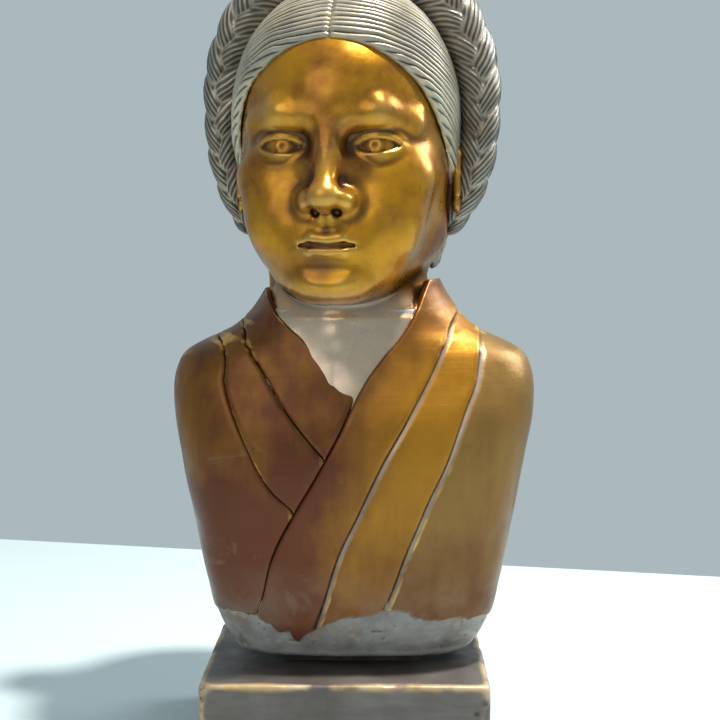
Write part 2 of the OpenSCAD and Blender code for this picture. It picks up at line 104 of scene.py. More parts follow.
def noise(p, size, seed=SEED):
    """Smooth noise from -1 to 1 with lumps of about that size, at points p."""
    q = np.asarray(p, float) / size + 1000
    c = np.floor(q).astype(np.int64)
    f = q - c
    f = f * f * (3 - 2 * f)
    total = np.zeros(len(q))
    for i in (0, 1):
        wx = f[:, 0] if i else 1 - f[:, 0]
        for j in (0, 1):
            wy = f[:, 1] if j else 1 - f[:, 1]
            for k in (0, 1):
                wz = f[:, 2] if k else 1 - f[:, 2]
                total += wx * wy * wz * lattice(c[:, 0] + i, c[:, 1] + j, c[:, 2] + k, seed)
    return total


# ---------------------------------------------------------------- meshes


def new_object(name, verts, faces, material, shade_smooth=True):
    """Object from vertices in millimetres and faces that all have as many sides."""
    verts = np.asarray(verts, np.float64) * MM
    faces = np.asarray(faces, np.int32)
    mesh = bpy.data.meshes.new(name)
    mesh.vertices.add(len(verts))
    mesh.vertices.foreach_set("co", verts.astype(np.float32).ravel())
    sides = faces.shape[1]
    mesh.loops.add(faces.size)
    mesh.loops.foreach_set("vertex_index", faces.ravel())
    mesh.polygons.add(len(faces))
    mesh.polygons.foreach_set("loop_start", np.arange(0, faces.size, sides, dtype=np.int32))
    mesh.polygons.foreach_set("use_smooth", np.full(len(faces), shade_smooth))
    mesh.update(calc_edges=True)
    mesh.validate()
    obj = bpy.data.objects.new(name, mesh)
    bpy.context.scene.collection.objects.link(obj)
    mesh.materials.append(material)
    return obj


def vertex_normals(verts, faces):
    a, b, c = verts[faces[:, 0]], verts[faces[:, 1]], verts[faces[:, 2]]
    face_normal = np.cross(b - a, c - a)
    if faces.shape[1] == 4:
        face_normal = np.cross(c - a, verts[faces[:, 3]] - b)
    total = np.zeros_like(verts)
    for corner in range(faces.shape[1]):
        for axis in range(3):
            weights = face_normal[:, axis]
            total[:, axis] += np.bincount(faces[:, corner], weights=weights, minlength=len(verts))
    return total / np.maximum(np.linalg.norm(total, axis=1, keepdims=True), 1e-9)


def smoothed(verts, faces, passes):
    """Vertices moved to the mean of their neighbours, again and again."""
    sides = faces.shape[1]
    a = np.concatenate([faces[:, i] for i in range(sides)])
    b = np.concatenate([faces[:, (i + 1) % sides] for i in range(sides)])
    ends, others = np.concatenate([a, b]), np.concatenate([b, a])
    count = np.maximum(np.bincount(ends, minlength=len(verts)), 1)[:, None]
    out = verts.copy()
    for _ in range(passes):
        sums = [np.bincount(ends, weights=out[others, k], minlength=len(out)) for k in range(3)]
        out = np.stack(sums, 1) / count
    return out


def set_relief(obj, passes=8, full=0.25):
    """Stores how far each vertex stands out of its surroundings, from 0 to 1 about 0.5."""
    mesh = obj.data
    verts = np.zeros(len(mesh.vertices) * 3)
    mesh.vertices.foreach_get("co", verts)
    verts = verts.reshape(-1, 3) / MM
    mesh.calc_loop_triangles()
    tris = np.zeros(len(mesh.loop_triangles) * 3, np.int32)
    mesh.loop_triangles.foreach_get("vertices", tris)
    tris = tris.reshape(-1, 3)
    normal = vertex_normals(verts, tris)
    out = ((verts - smoothed(verts, tris, passes)) * normal).sum(1)
    value = np.clip(0.5 + 0.5 * out / full, 0, 1)
    layer = mesh.attributes.new("relief", "FLOAT", "POINT")
    layer.data.foreach_set("value", value.astype(np.float32))


def grid_faces(rows, cols, flip=False):
    i = np.arange((rows - 1) * cols).reshape(rows - 1, cols)[:, :-1].ravel()
    quads = np.stack([i, i + 1, i + cols + 1, i + cols], 1)
    return quads[:, ::-1] if flip else quads


def skin_mesh(outer, inner):
    """Closed skin between two grids of points of shape (rows, cols, 3)."""
    rows, cols = outer.shape[:2]
    k = rows * cols
    verts = np.concatenate([outer.reshape(-1, 3), inner.reshape(-1, 3)])
    index = np.arange(k).reshape(rows, cols)

    def wall(edge):
        a, b = edge[:-1], edge[1:]
        return np.stack([b, a, a + k, b + k], 1)

    walls = [wall(edge) for edge in (index[0], index[-1, ::-1], index[::-1, 0], index[:, -1])]
    faces = [grid_faces(rows, cols), grid_faces(rows, cols, True) + k, *walls]
    return verts, np.concatenate(faces)


def surface_net(field, origin, step):
    """Quads on the zero level of a field of distances on a regular grid."""
    inside = field < 0
    nx, ny, nz = field.shape
    corners = np.array([(i, j, k) for i in (0, 1) for j in (0, 1) for k in (0, 1)])
    count = np.zeros((nx - 1, ny - 1, nz - 1), np.int8)
    for i, j, k in corners:
        count += inside[i : nx - 1 + i, j : ny - 1 + j, k : nz - 1 + k]
    active = (count > 0) & (count < 8)
    number = np.full(active.shape, -1, np.int32)
    cells = np.argwhere(active)
    number[active] = np.arange(len(cells))
    value = np.stack([field[tuple((cells + c).T)] for c in corners], 1)
    total, hits = np.zeros((len(cells), 3)), np.zeros(len(cells))
    for a in range(8):
        for b in range(a + 1, 8):
            if np.abs(corners[a] - corners[b]).sum() != 1:
                continue
            cross = (value[:, a] < 0) != (value[:, b] < 0)
            t = np.where(cross, value[:, a] / np.where(cross, value[:, a] - value[:, b], 1), 0)
            place = corners[a] + t[:, None] * (corners[b] - corners[a])
            total += place * cross[:, None]
            hits += cross
    verts = origin + (cells + total / hits[:, None]) * step
    quads = []
    for axis in range(3):
        u, v = [(1, 2), (2, 0), (0, 1)][axis]
        low = [slice(1, n - 1) for n in field.shape]
        low[axis] = slice(0, field.shape[axis] - 1)
        high = list(low)
        high[axis] = slice(1, field.shape[axis])
        here, there = inside[tuple(low)], inside[tuple(high)]
        for flip in (False, True):
            places = np.argwhere(here & ~there if not flip else ~here & there)
            offset = np.ones(3, int)
            offset[axis] = 0
            places = places + offset
            around = []
            for du, dv in ((1, 1), (0, 1), (0, 0), (1, 0)):
                q = places.copy()
                q[:, u] -= du
                q[:, v] -= dv
                around.append(number[tuple(q.T)])
            quad = np.stack(around, 1)
            quads.append(quad[:, ::-1] if flip else quad)
    return verts, np.concatenate(quads)


def sculpt(distance, low, high, step, block=12):
    """Mesh of a distance function. Only blocks of the grid near the surface are worked out finely."""
    low, high = np.array(low, float), np.array(high, float)
    blocks = np.ceil((high - low) / (step * block)).astype(int)
    size = blocks * block + 1
    span = block * step
    middles = [low[a] + (np.arange(blocks[a]) + 0.5) * span for a in range(3)]
    centres = np.stack(np.meshgrid(*middles, indexing="ij"), -1).reshape(-1, 3)
    far = distance(*centres.T)
    field = far.reshape(blocks)
    for axis in range(3):
        field = np.repeat(field, block, axis)
    field = np.pad(field.astype(np.float32), ((0, 1), (0, 1), (0, 1)), mode="edge")
    near = np.argwhere(np.abs(far.reshape(blocks)) < span * 0.87 + 8 * step)
    ticks = np.arange(block + 1)
    local = np.stack(np.meshgrid(ticks, ticks, ticks, indexing="ij"), -1).reshape(-1, 3)
    for part in np.array_split(near, max(1, len(near) // 200)):
        places = (part[:, None, :] * block + local[None]).reshape(-1, 3)
        points = low + places * step
        field[tuple(places.T)] = distance(*points.T.astype(np.float32))
    assert tuple(size) == field.shape
    return surface_net(field, low, step)


# ---------------------------------------------------------------- distance fields


def ball(x, y, z, c, r):
    """Distance to an ellipsoid with centre c and radii r."""
    px, py, pz = (x - c[0]) / r[0], (y - c[1]) / r[1], (z - c[2]) / r[2]
    k0 = np.sqrt(px * px + py * py + pz * pz)
    k1 = np.sqrt((px / r[0]) ** 2 + (py / r[1]) ** 2 + (pz / r[2]) ** 2)
    return k0 * (k0 - 1) / np.maximum(k1, 1e-6)


def rod(x, y, z, a, b, ra, rb):
    """Distance to a rounded rod from a to b, its radius going from ra to rb."""
    d = [b[i] - a[i] for i in range(3)]
    t = ((x - a[0]) * d[0] + (y - a[1]) * d[1] + (z - a[2]) * d[2]) / sum(v * v for v in d)
    t = np.clip(t, 0, 1)
    gap = np.sqrt((x - a[0] - t * d[0]) ** 2 + (y - a[1] - t * d[1]) ** 2 + (z - a[2] - t * d[2]) ** 2)
    return gap - (ra + t * (rb - ra))


def melt(a, b, k):
    """Union of two fields with a fillet of about k."""
    h = np.clip(0.5 + 0.5 * (b - a) / k, 0, 1)
    return b + (a - b) * h - k * h * (1 - h)


def carve(a, b, k):
    """Field a with b taken away, with rounded edges of about k."""
    return -melt(-a, b, k)


# ---------------------------------------------------------------- torso

# Outline: height, half width, depth in front, depth behind, squareness
TORSO_ROWS = [
    (-1.3, 51, 22, 31, 2.5), (1.3, 61, 27, 35, 2.7), (9, 68.5, 33, 39, 3), (23, 76, 39, 42, 3.1),
    (41, 80.5, 43, 44, 3.2), (60, 84, 46, 45, 3.2), (85, 89, 51, 48, 3.2), (110, 94, 53, 51, 3.1),
    (132, 98, 51, 53, 3), (147, 98.5, 46, 53, 2.9), (156, 96.8, 43, 51, 2.7),
    (163, 92.8, 41, 49, 2.5), (169, 82.5, 40, 47, 2.3), (175, 68, 39.5, 45, 2.2),
    (184, 57, 39, 43, 2.1), (196, 48, 39, 42, 2), (206, 43, 39, 41.5, 2),
]
CORE_SHARE = 0.97  # the core's width and depth as a share of the outline over the robe
CORE_DEPTH_SHARE = 0.945
RING_STEP = 1.0
RING_COUNT = 360
RING_LENGTH = 500  # about once round the torso
TORN_LEVEL = 27  # about the height of the robe's torn edge
ROBE_SINK = 0.3  # how far the robe's inner face lies in the core
CORE_THICK = 4.4


def torso_table():
    """Points and outward normals of the core on rows of height and equal steps round each half.
    Round the ring, 0 to 0.5 is the front from -X to +X and 0.5 to 1 the back."""
    z = np.arange(-1.3, 206, RING_STEP)
    width, front, back, square = (
        curve(z, [(r[0], r[k]) for r in TORSO_ROWS]) for k in (1, 2, 3, 4)
    )
    half = RING_COUNT // 2
    points = np.zeros((len(z), RING_COUNT + 1, 3))
    angle = np.linspace(0, np.pi, 1441)
    for i in range(len(z)):
        for side, depth in ((0, -front[i]), (1, back[i])):
            c, s = -np.cos(angle), np.sin(angle)
            x = np.sign(c) * np.abs(c) ** (2 / square[i]) * width[i] * CORE_SHARE
            y = s ** (2 / square[i]) * depth * CORE_DEPTH_SHARE
            x = -x if side else x
            run = np.concatenate([[0], np.cumsum(np.hypot(np.diff(x), np.diff(y)))])
            at = np.linspace(0, run[-1], half + 1)
            cols = slice(half * side, half * side + half + 1)
            points[i, cols, 0] = np.interp(at, run, x)
            points[i, cols, 1] = np.interp(at, run, y)
    points[..., 2] = z[:, None]
    along = np.gradient(points, axis=0)
    around = np.gradient(np.concatenate([points[:, -2:-1], points, points[:, 1:2]], 1), axis=1)[:, 1:-1]
    normal = np.cross(around, along)
    normal /= np.linalg.norm(normal, axis=2, keepdims=True)
    return z, points, normal


RING_Z, RING_POINT, RING_NORMAL = torso_table()


def on_torso(f, z, off):
    """Points on the torso at ring share f and height z, standing off the core by off."""
    i = np.clip((z - RING_Z[0]) / RING_STEP, 0, len(RING_Z) - 1.001)
    j = np.clip(f * RING_COUNT, 0, RING_COUNT - 0.001)
    i0, j0 = i.astype(int), j.astype(int)
    u, v = (i - i0)[..., None], (j - j0)[..., None]

    def mix(table):
        a = table[i0, j0] * (1 - v) + table[i0, j0 + 1] * v
        b = table[i0 + 1, j0] * (1 - v) + table[i0 + 1, j0 + 1] * v
        return a * (1 - u) + b * u

    point = mix(RING_POINT)
    normal = mix(RING_NORMAL)
    normal /= np.linalg.norm(normal, axis=-1, keepdims=True)
    return point + normal * np.asarray(off)[..., None]


def ring_share(x, z):
    """Ring share of the front's point at distance x from the middle and height z."""
    half = RING_COUNT // 2
    out = []
    for xi, zi in zip(x, z):
        i = int(np.clip(round((zi - RING_Z[0]) / RING_STEP), 0, len(RING_Z) - 1))
        out.append(np.interp(xi, RING_POINT[i, : half + 1, 0], np.arange(half + 1)) / RING_COUNT)
    return np.array(out)


# Lapel lines in the front view: height, distance from the torso's middle
LAP_CROSS = [
    (14, -55), (31, -48.5), (60, -41), (82.5, -30), (99.5, -20), (123, -7), (150, 6.2),
    (163, 15.6), (178, 27.6), (196, 35.5), (206, 39),
]
LAP_LEFT_1 = [(14, -22), (33, -15.6), (61, -7), (84, 3.6), (111, 16.5), (129, 27), (148, 37.5),
    (169, 47.5), (180, 51), (186, 56), (190, 66)]
LAP_LEFT_2 = [(14, 8), (31, 17), (61, 28), (88.5, 39), (109, 48.5), (135, 58), (150, 64),
    (166, 66.5), (176, 68), (184, 80)]
LAP_RIGHT_1 = [(130, 6), (149, 0), (157.6, -9), (170, -22), (185, -38.8), (196, -45), (206, -50)]
LAP_RIGHT_2 = [(105, -8), (115, -17.5), (136, -34.5), (156, -47), (168, -55), (182, -60), (190, -70)]
LAP_RIGHT_3 = [(70, -22), (83.5, -30.3), (96, -42.5), (117.5, -54.6), (148, -66.4), (168, -68.6),
    (178, -80)]
TORN_EDGE = [
    (-100, 25), (-72, 25), (-68, 26), (-60, 27.5), (-51.5, 27), (-44, 25.5), (-37, 22),
    (-30, 18.5), (-24, 17), (-20, 12.5), (-15, 17), (-8, 22.5), (0, 25.5), (10, 27.5), (20, 29.5),
    (30, 29), (38, 25), (48, 23.5), (57, 24.5), (66, 23), (80, 23), (100, 24),
]
EDGE_STEPS = np.array([0, 0.1, 0.28, 0.55, 0.95, 1.5])  # distances of a rounded edge's rows


def edge_spread(length, step):
    """Shares from 0 to 1 along a length, close together at both ends for the rounded edges."""
    middle = np.arange(EDGE_STEPS[-1] + step, length - EDGE_STEPS[-1] - step / 2, step)
    return np.concatenate([EDGE_STEPS, middle, (length - EDGE_STEPS)[::-1]]) / length


def rounded(distance, r):
    """How far a rounded edge of radius r lies below the flat, at a distance from the edge."""
    t = 1 - np.clip(distance / r, 0, 1)
    return r * (1 - np.sqrt(np.maximum(0, 1 - t * t)))


def torn_height(x):
    """Height of the torn lower edge of the robe at distance x from the middle."""
    p = np.stack([x, np.zeros_like(x), np.zeros_like(x)], -1)
    ragged = 0.9 * noise(p, 5, 27) + 0.6 * noise(p, 1.9, 28)
    return curve(x, TORN_EDGE) + ragged


def torso_relief(points):
    """Unevenness of the modelled surface at points in the torso's own place."""
    flat = points.reshape(-1, 3)
    soft = 0.4 * noise(flat, 19) + 0.07 * noise(flat, 6, SEED + 3)
    dents = np.clip(noise(flat, 6, SEED + 5) - 0.72, 0, 1) * smoothstep(84, 92, np.abs(flat[:, 0]))
    return (soft - 2.4 * dents).reshape(points.shape[:-1])


def to_torso_place(verts):
    return verts + [TORSO_X, 0, BUST_Z]


def robe_piece(name, node, f_line, thick, material, high, lower=None, width=40,
               round_r=1.35, sides=(True, True), ledge=False):
    """Layer of the robe. f_line gives the ring shares of both side lines at heights z, lower is the
    lowest height, or None for the torn edge, high the highest, or one for each side, and sides tells
    which side edges are rounded. A ledge is a trough along the near line, painted pale grey as a
    painted highlight; the pale strip along the torn lower edge is the layer's own thickness."""
    u = edge_spread(width, 1.0)
    z_low = lower or TORN_LEVEL
    v = edge_spread(np.max(high) - z_low, 1.0)
    z_all = np.linspace(z_low - 12, np.max(high), 90)
    f_near, f_far = f_line(z_all)
    f_low = f_near[12:13] * (1 - u) + f_far[12:13] * u
    x_low = on_torso(f_low, np.full(len(u), TORN_LEVEL + 1.0), 0 * u)[:, 0]
    low = np.full(len(u), float(lower)) if lower else torn_height(x_low)
    top = np.interp(u, [0, 1], np.broadcast_to(high, 2))
    z = low[None] + (top - low)[None] * v[:, None]
    f0, f1 = np.interp(z, z_all, f_near), np.interp(z, z_all, f_far)
    f = f0 * (1 - u) + f1 * u
    real = np.maximum(f1 - f0, 0) * RING_LENGTH
    d_near = np.where((f0 > 0.004) & sides[0], u * real, 9)
    d_far = np.where((f1 < 0.496) & sides[1], (1 - u) * real, 9)
    d_end = np.minimum(v, 1 - v)[:, None] * (top - low)[None]
    d_line = np.minimum(d_near, d_far)
    drop = np.maximum(rounded(d_line, round_r) + 0.5 * (1 - smoothstep(0, 3.2, d_line)),
                      rounded(d_end, round_r * 0.8))
    trough = 1 - smoothstep(0.6, 4.2, d_near)
    if ledge:
        drop = drop + 0.55 * (1 - smoothstep(0.5, 4.5, d_near))
    base = on_torso(f, z, np.full_like(z, thick))
    height = thick + torso_relief(base) - drop
    outer = on_torso(f, z, np.maximum(height, 0.4))
    inner = on_torso(f, z, np.full_like(z, -ROBE_SINK))
    verts, faces = skin_mesh(outer, inner)
    obj = new_object(name, to_torso_place(verts), faces, material)
    set_relief(obj, 3, 0.2)
    # Pale grey marks: along the torn lower edge the layer's own thickness shows, and in the trough along
    # the near line a painted highlight.
    rim = 0 if lower else 1 - smoothstep(0.3, 1.4, v[:, None] * (top - low)[None])
    grey = np.concatenate([np.maximum(trough * ledge, rim).ravel(), np.zeros(z.size)])
    layer = obj.data.attributes.new("ledge", "FLOAT", "POINT")
    layer.data.foreach_set("value", grey.astype(np.float32))
    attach(obj, "root")
    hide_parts(node)
    return obj


def front_lines(near, far):
    """Ring shares of two lines given as distances from the middle at a height, or a ring share."""
    def shares(z):
        return tuple(
            np.full_like(z, edge) if isinstance(edge, float) else ring_share(edge(z), z)
            for edge in (near, far)
        )
    return shares


def line(points):
    return lambda z: curve(z, points)


def lesser(a, b):
    return lambda z: np.minimum(curve(z, a), curve(z, b))


def build_robe(mat, side_mat):
    robe_piece("robe_left_front_layer", "robe_left_front", front_lines(line(LAP_LEFT_2), 0.5), 2.7,
               side_mat, 181, width=66, sides=(True, False), ledge=True)
    robe_piece("robe_right_front_layer", "robe_right_front",
               front_lines(0.0, lesser(LAP_RIGHT_3, LAP_CROSS)), 2.7, mat, 177, width=66,
               sides=(False, True))
    robe_piece("robe_back_layer", "robe_back", front_lines(0.5, 1.0), 2.7, mat, 182, width=250,
               sides=(False, False))
    robe_piece("collar_left_outer_band", "collar_left_outer",
               front_lines(line(LAP_LEFT_1), line(LAP_LEFT_2)), 3.4, mat, 187, width=34,
               ledge=True)
    robe_piece("collar_right_inner_band", "collar_right_inner",
               front_lines(line(LAP_RIGHT_2), lesser(LAP_RIGHT_1, LAP_CROSS)), 2.5, mat, 198,
               lower=108, width=32)
    robe_piece("collar_right_outer_band", "collar_right_outer",
               front_lines(line(LAP_RIGHT_3), lesser(LAP_RIGHT_2, LAP_CROSS)), 3.1, mat, 186,
               lower=80, width=26)
    robe_piece("collar_left_inner_band", "collar_left_inner",
               front_lines(line(LAP_CROSS), line(LAP_LEFT_1)), 4.1, mat, 203, width=38)
    robe_piece("collar_back_band", "collar_back", front_lines(0.5, 1.0), 3.0, mat, (203, 198),
               lower=181, width=120, sides=(False, False))


def build_core(mat):
    """Both halves of the paper core, rough where the robe leaves it bare."""
    z = np.arange(-1.3, 189.5, 1.0)
    for name, node, f0, f1 in (("core_front", "torso_front_shell", 0.0, 0.5),
                               ("core_back", "torso_back_shell", 0.5, 1.0)):
        f = np.linspace(f0, f1, 190)
        zz, ff = np.meshgrid(z, f, indexing="ij")
        base = on_torso(ff, zz, np.zeros_like(zz))
        flat = base.reshape(-1, 3)
        rough = 0.5 * noise(flat, 15, 21) + 0.22 * noise(flat, 5, 22) + 0.12 * noise(flat, 2.2, 23)
        crack = np.abs(noise(flat * [1, 1, 1.6], 13, 25)) + 0.25 * np.abs(noise(flat, 4, 26))
        rough = 1.75 + rough - 0.7 * (1 - smoothstep(0.02, 0.1, crack))
        rough = rough.reshape(zz.shape) * (1 - smoothstep(33, 39, zz)) * smoothstep(-1.5, 3, zz)
        outer = on_torso(ff, zz, rough)
        inner = on_torso(ff, zz, np.full_like(zz, -CORE_THICK))
        verts, faces = skin_mesh(outer, inner)
        obj = new_object(name, to_torso_place(verts), faces, mat)
        set_relief(obj, full=0.4)
        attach(obj, "root")
        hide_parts(node)


# ---------------------------------------------------------------- head


def to_head_place(verts):
    """From the head's own place, where the chin is at height 0, to the figure's."""
    c, s = np.cos(HEAD_YAW), np.sin(HEAD_YAW)
    x, y, z = np.asarray(verts).T
    return np.stack([c * x - s * y + HEAD_X, s * x + c * y, z + CHIN_Z], 1)


def chest_distance(x, y, z):
    """Distance to the skin between the lapels, given in the head's own place."""
    c, s = np.cos(HEAD_YAW), np.sin(HEAD_YAW)
    tx, ty = c * x - s * y + HEAD_X - TORSO_X, s * x + c * y
    tz = z + CHIN_Z - BUST_Z
    width, front, square = (curve(tz, [(r[0], r[k]) for r in TORSO_ROWS]) for k in (1, 2, 4))
    t = np.clip(np.abs(tx) / (width * CORE_SHARE), 0, 0.98)
    face = -(front * CORE_DEPTH_SHARE) * (1 - t**square) ** (1 / square)
    above = np.maximum(tz - 184, 0)  # the sheet leans back to the neck here
    out = (face + 0.9 * above - 0.9 - ty) * 0.75
    ends = np.maximum(np.abs(tx) + 0.35 * above - 47, np.abs(tz - 169) - 34)
    return np.maximum(np.maximum(out, -(out + 4)), ends)


def head_distance(x, y, z):
    s = np.abs(x)
    d = ball(x, y, z, (0, 4, 93), (57, 70, 64))
    d = melt(d, ball(x, y, z, (0, -13, 108), (49, 53, 44)), 14)
    d = melt(d, ball(x, y, z, (0, -13, 58), (53, 50, 57)), 14)
    d = melt(d, rod(s, y, z, (41, -2, 36), (12, -50, 13), 12, 10), 14)
    d = melt(d, ball(x, y, z, (0, -34, 16), (30, 30, 14)), 12)
    d = melt(d, ball(x, y, z, (0, -54.5, 10.5), (17, 12, 10.5)), 9)
    d = melt(d, ball(s, y, z, (34, -43, 64), (16, 13, 12)), 14)
    d = melt(d, ball(s, y, z, (27, -46, 42), (18, 16, 20)), 14)
    d = melt(d, ball(x, y, z, (0, -55.5, 31), (23, 13, 16)), 10)
    neck = rod(x, y * 1.06, z, (0, 0, -56), (0, 6, 22), 37.5, 38)
    neck = melt(neck, rod(s, y, z, (44, 16, 38), (9, -31, -46), 7.5, 5.5), 12)
    neck = melt(neck, ball(x, y, z, (0, -33, -16), (7, 6, 12)), 10)
    d = melt(d, neck, 9)
    # eyes
    d = carve(d, ball(s, y, z, (24, -67, 80), (15.5, 9.5, 9)), 8)
    d = carve(d, ball(s, y, z, (13, -68, 82), (5, 8, 8)), 7)
    d = melt(d, rod(s, y, z, (10, -60.5, 92), (25, -59, 96), 3.6, 4.2), 9)
    d = melt(d, rod(s, y, z, (25, -59, 96), (41, -44.5, 91), 4.2, 3.2), 9)
    across = (s - 24) / 12.5
    lid_top = 78.3 + 4.6 * np.sqrt(np.maximum(0, 1 - across**2)) + 0.5 * across
    lid_low = 78.3 - 3.0 * np.sqrt(np.maximum(0, 1 - across**2)) + 0.5 * across
    eye = ball(s, y, z, (24, -49.5, 78.5), (12, 10.6, 10.6))
    lids = ball(s, y, z, (24, -49.5, 78.5), (14, 12.1, 12.1))
    opening = np.maximum(z - lid_top, lid_low - z)
    opening = np.where(np.abs(across) < 1, opening, 3 + np.abs(s - 24) - 12.5)
    lids = carve(lids, opening, 0.9)
    fold = np.abs(z - lid_top - 3.6 + 0.4 * across**2 * 3) - 0.35
    lids = np.where(fold < 0.8, lids + 0.55 * (1 - np.clip(fold, 0, 0.8) / 0.8), lids)
    iris = np.hypot(s - 23.6, z - 79)
    eye = eye + 0.3 * bump(iris - 4.6, 0.6) + 0.7 * (1 - smoothstep(0.8, 2.4, iris))
    d = melt(d, lids, 3.2)
    d = melt(d, eye, 0.8)
    # nose
    nose = rod(x, y, z, (0, -60, 86), (0, -73, 55), 4.4, 6.0)
    nose = melt(nose, ball(x, y, z, (0, -74.5, 53.5), (8, 7.5, 6.8)), 5)
    nose = melt(nose, ball(s, y, z, (9.2, -67.3, 51.5), (5.0, 7.6, 5.4)), 4.5)
    nose = melt(nose, rod(x, y, z, (0, -73, 48), (0, -64, 44), 3, 3), 3)
    d = melt(d, nose, 8.5)
    d = carve(d, ball(s, y, z, (5.6, -69.8, 45.2), (2.5, 4.6, 2.1)), 1.6)
    # mouth
    d = carve(d, rod(x, y, z, (0, -71.5, 42), (0, -71.5, 36), 2.2, 2.6), 3)
    d = melt(d, rod(s, y, z, (0, -66.8, 32.2), (7, -66.2, 33), 3.0, 2.6), 2.2)
    d = melt(d, rod(s, y, z, (7, -66.2, 33), (20.5, -58.6, 29.6), 2.6, 1.1), 2.2)
    d = melt(d, rod(s, y, z, (0, -66.0, 25.6), (8, -64.8, 25.8), 4.0, 3.6), 2.2)
    d = melt(d, rod(s, y, z, (8, -64.8, 25.8), (19.5, -58.2, 28.4), 3.6, 1.0), 2.2)
    d = carve(d, rod(s, y, z, (0, -69.0, 29.0), (9, -67.9, 29.5), 0.9, 0.8), 2.2)
    d = carve(d, rod(s, y, z, (9, -67.9, 29.5), (17.5, -63.4, 29.2), 0.8, 0.3), 2.2)
    d = carve(d, ball(x, y, z, (0, -71.2, 18.2), (13, 5, 4.4)), 8)
    return d


def sculpted_skin(distance, low, high, step):
    verts, faces = sculpt(distance, low, high, step)
    return smoothed(verts, faces, 1), faces


def build_head(mat):
    def whole(x, y, z):
        d = head_distance(x, y, z)
        return melt(d, chest_distance(x, y, z), 15)

    def front_half(x, y, z):
        return np.maximum(whole(x, y, z), y - 1.5)

    verts, faces = sculpted_skin(front_half, (-62, -86, -56), (62, 4, 158), 0.8)
    verts = verts + vertex_normals(verts, faces) * (0.22 * noise(verts, 9, 31))[:, None]
    obj = new_object("head_front_skin", to_head_place(verts), faces, mat)
    set_relief(obj, 10, 0.35)
    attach(obj, "root")
    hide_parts("head_front")


def build_ears(mat):
    def ear(x, y, z):
        plate = ball(x, y, z, (0, 0, 1), (2.6, 9.4, 18))
        rim = 99.0
        path = [(-7.5, -9), (-8, 2), (-6, 12), (0, 17), (6.5, 13), (8, 3), (5, -8), (1, -15)]
        for (y0, z0), (y1, z1) in zip(path, path[1:]):
            rim = melt(rim, rod(x, y, z, (1.0, y0, z0), (1.0, y1, z1), 1.7, 1.7), 1.5)
        d = melt(plate, rim, 1.6)
        d = melt(d, ball(x, y, z, (0.4, -2.5, -14.5), (2.8, 5, 4.6)), 2.5)
        d = carve(d, ball(x, y, z, (3, -1.5, -3), (3.2, 4.2, 6.5)), 1.6)
        return carve(d, ball(x, y, z, (3, 1, 8.5), (2.4, 4.4, 5)), 1.6)

    verts, faces = sculpted_skin(ear, (-5, -13, -22), (5, 13, 22), 0.6)
    for name, node, side in (("ear_left_shape", "ear_left", 1), ("ear_right_shape", "ear_right", -1)):
        low, high = (np.array(c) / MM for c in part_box(node))
        placed = verts * [side, 1, 1]
        c, sn = np.cos(HEAD_YAW), np.sin(HEAD_YAW)
        x, y, z = placed.T
        placed = np.stack([c * x - sn * y, sn * x + c * y, z], 1) + (low + high) / 2
        placed = placed - [2.6 * side, 0, 1.5]
        obj = new_object(name, placed, faces if side > 0 else faces[:, ::-1], mat)
        set_relief(obj, 4)
        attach(obj, "root")
        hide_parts(node)


# ---------------------------------------------------------------- hair

HAIR_LEVEL = 99.0  # height of the cap's widest level
HAIR_RISE = 72.0
HAIR_HALF_WIDTH = 62
HAIR_FRONT = 71.0
HAIR_BACK = 82.0
HAIR_THICK = 4.8
NAPE_Z = 15.0
STRAND = 3.3  # from groove to groove
WREATH_DROP = 38  # degrees that a braid goes below the widest level


def hair_cap(az, climb):
    """Points of the hair cap at azimuth az from the face's middle, in degrees, and at climb, the
    angle above the widest level in radians, which goes on as a length below it."""
    u = np.minimum(climb, 0)
    dome = np.where(climb > 0, np.cos(climb), 1)
    z = HAIR_LEVEL + HAIR_RISE * np.where(climb > 0, np.sin(climb), climb)
    sn, cs = np.sin(np.radians(az)), np.cos(np.radians(az))
    depth = np.where(cs > 0, HAIR_FRONT, HAIR_BACK)
    bend = 2 / 2.2
    x = HAIR_HALF_WIDTH * dome * (1 - 0.14 * u * u) * np.sign(sn) * np.abs(sn) ** bend
    y = -depth * dome * (1 - 0.285 * u * u) * np.sign(cs) * np.abs(cs) ** bend
    return np.stack([x, y, z], -1)


def grid_normals(grid):
    along = np.gradient(grid, axis=0)
    around = np.gradient(grid, axis=1)
    n = np.cross(around, along)
    return n / np.maximum(np.linalg.norm(n, axis=-1, keepdims=True), 1e-9)


def climb_of(z):
    u = (z - HAIR_LEVEL) / HAIR_RISE
    return np.where(u > 0, np.arcsin(np.clip(u, -1, 1)), u)


def hairline(az):
    a = np.abs(az)
    return np.where(a < 50, 134 - 24 * (a / 50) ** 2,
                    np.where(a < 90, 110 - 48 * (a - 50) / 40,
                             np.maximum(NAPE_Z, 62 - 47 * (a - 90) / 20)))


def ridge(field, spacing):
    """Rounded ridges with narrow grooves between them, from -1 in a groove to 0."""
    return np.abs(np.sin(np.pi * field / spacing)) ** 0.75 - 1


